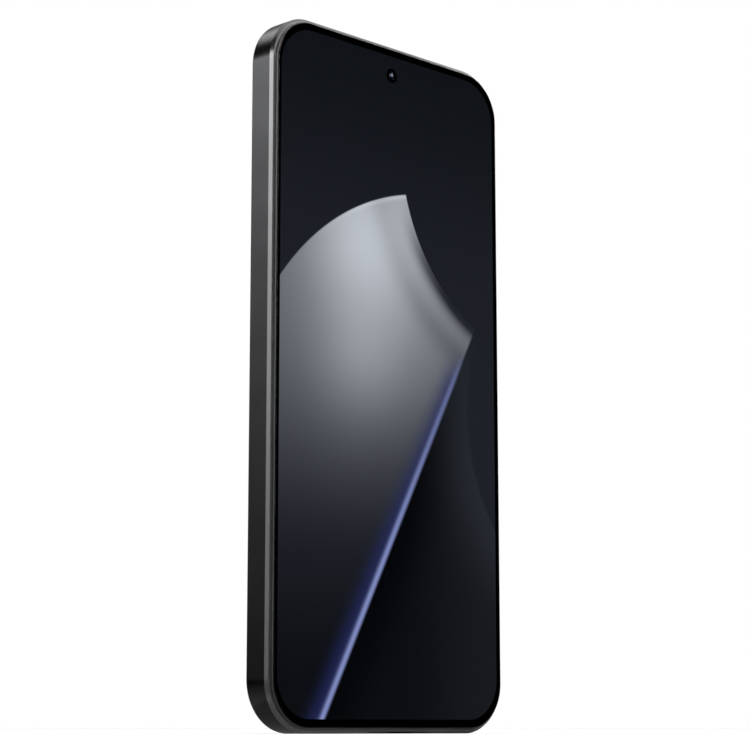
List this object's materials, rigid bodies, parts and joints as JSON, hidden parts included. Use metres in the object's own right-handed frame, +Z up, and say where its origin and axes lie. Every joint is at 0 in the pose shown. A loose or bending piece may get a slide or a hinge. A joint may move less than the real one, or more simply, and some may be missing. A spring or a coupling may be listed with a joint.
{
  "type": "smartphone",
  "caption": "Slab smartphone with a flat metal frame, rounded corners, full-face display with a front camera window, side keys, card tray, connector socket and a raised rear camera plateau.",
  "frame": {"origin": "on the surface that the phone stands on, at the middle of its bottom edge and of its metal body's thickness", "axes": "+X to the right as seen from the screen side (the side with the keys and the tray), +Y from the screen to the back, +Z up along the phone's length"},
  "size_m": [0.0754, 0.0103, 0.1603],
  "materials": {
    "frame_metal": "dark grey anodised aluminium with a satin grain; the front chamfer is cut brighter",
    "cover_glass": "clear polished cover glass over black print",
    "display": null,
    "back_panel": "dark grey back glass with a matt etched finish",
    "black_plastic": "moulded black plastic",
    "steel": "stamped stainless steel",
    "copper": "copper sheet",
    "board": "solder mask on laminate",
    "chip": "moulded chip package",
    "foil": "dark laminated pouch",
    "flex": "flexible printed circuit",
    "rubber": "black silicone rubber",
    "light_plastic": "off-white plastic"
  },
  "bodies": {
    "phone": {"antenna_cable": "black_plastic", "antenna_insert_bottom_left": "black_plastic", "antenna_insert_bottom_right": "black_plastic", "antenna_insert_top_left": "black_plastic", "antenna_insert_top_right": "black_plastic", "back_cover": "back_panel", "back_cover_adhesive": "black_plastic", "battery": "foil", "battery_lead": "flex", "battery_pull_tab": "light_plastic", "board_flex": "flex", "bottom_microphone": "steel", "camera_plateau": "frame_metal", "display_adhesive": "black_plastic", "display_flex": "flex", "display_panel": "display", "earpiece_mesh": "steel", "earpiece_speaker": "black_plastic", "fingerprint_sensor": "chip", "flash_lens": "light_plastic", "flash_module": "light_plastic", "front_camera": "black_plastic", "front_camera_lens": "cover_glass", "front_glass": "cover_glass", "key_contact_strip": "flex", "main_board": "board", "memory_chip": "chip", "mid_frame": "frame_metal", "motor_case": "steel", "nfc_antenna": "copper", "processor": "chip", "screw_1": "steel", "screw_2": "steel", "screw_3": "steel", "screw_4": "steel", "screw_5": "steel", "screw_6": "steel", "screw_7": "steel", "shield_can_back": "steel", "shield_can_front": "steel", "sim_reader": "steel", "speaker_mesh": "steel", "speaker_module": "black_plastic", "sub_board": "board", "top_microphone": "steel", "ultrawide_camera": "black_plastic", "ultrawide_lens_cover": "cover_glass", "upper_bracket": "black_plastic", "usb_socket_shell": "steel", "usb_tongue": "black_plastic", "vapor_chamber": "copper", "wide_camera": "steel", "wide_lens_cover": "cover_glass"},
    "power_key": {"power_key": "frame_metal"},
    "volume_key": {"volume_key": "frame_metal"},
    "sim_tray": {"sim_tray": "frame_metal", "sim_card": "light_plastic", "sim_tray_seal": "rubber"},
    "focus_barrel": {"wide_camera_barrel": "black_plastic"},
    "motor_mass": {"motor_mass": "steel"}
  },
  "joints": [
    {"name": "power_press", "type": "slide", "parent": "phone", "child": "power_key", "axis": [-1, 0, 0], "range_m": [0, 0.0003], "stiffness_N_per_m": 3000, "springref_m": -0.0001},
    {"name": "volume_rock", "type": "hinge", "parent": "phone", "child": "volume_key", "pos_m": [0.0366, 0, 0.1185], "axis": [0, 1, 0], "range_deg": [-1.5, 1.5], "stiffness_Nm_per_rad": 0.4},
    {"name": "tray_slide", "type": "slide", "parent": "phone", "child": "sim_tray", "axis": [1, 0, 0], "range_m": [0, 0.022]},
    {"name": "focus_slide", "type": "slide", "parent": "phone", "child": "focus_barrel", "axis": [0, 1, 0], "range_m": [0, 0.00035], "stiffness_N_per_m": 300, "springref_m": -0.0001},
    {"name": "motor_slide", "type": "slide", "parent": "phone", "child": "motor_mass", "axis": [1, 0, 0], "range_m": [-0.00035, 0.00035], "stiffness_N_per_m": 1500}
  ]
}
